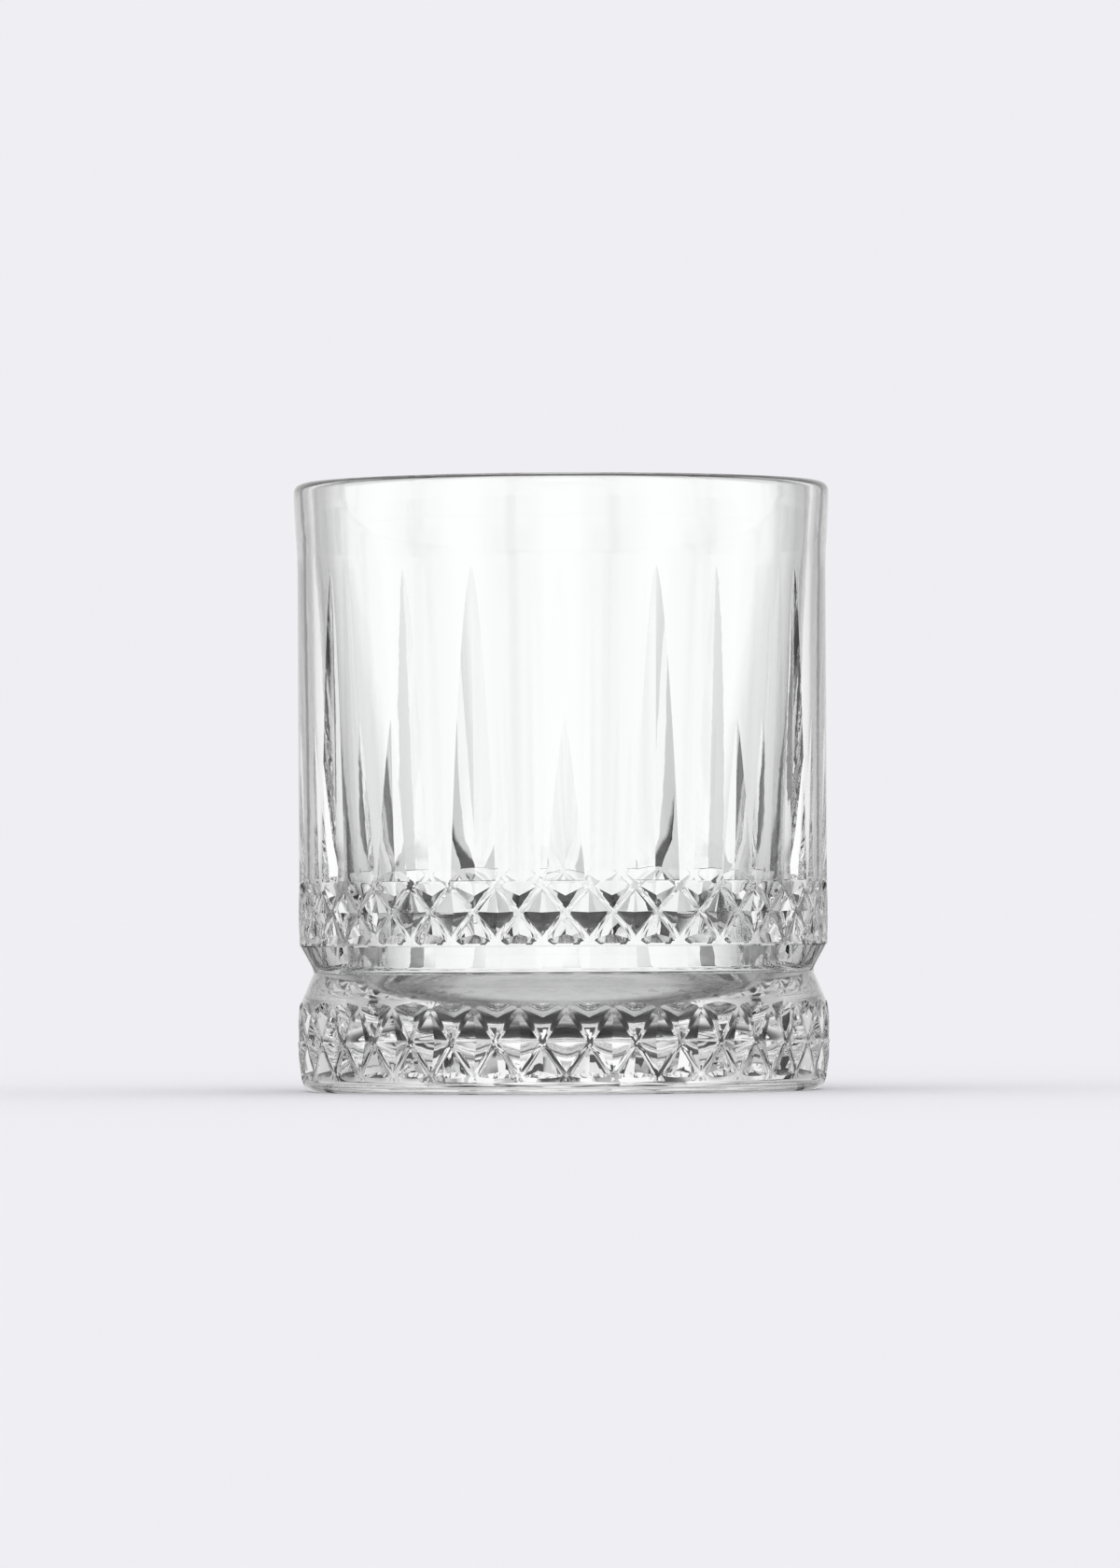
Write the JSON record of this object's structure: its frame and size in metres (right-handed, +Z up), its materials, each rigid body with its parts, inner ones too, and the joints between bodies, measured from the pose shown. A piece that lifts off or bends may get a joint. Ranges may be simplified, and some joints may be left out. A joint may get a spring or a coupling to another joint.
{
  "type": "whiskey tumbler",
  "caption": "Straight-sided pressed-glass tumbler with a heavy base, spear flutes and two bands of sunk diamonds.",
  "frame": {"origin": "centre of the resting plane under the base", "axes": "+Z up along the tumbler's axis to the rim; -Y is the front, at the middle of a short flute"},
  "size_m": [0.0846, 0.0846, 0.096],
  "materials": {
    "clear_glass": "clear, fire-polished"
  },
  "bodies": {
    "root": {"tumbler": "clear_glass"}
  },
  "joints": []
}
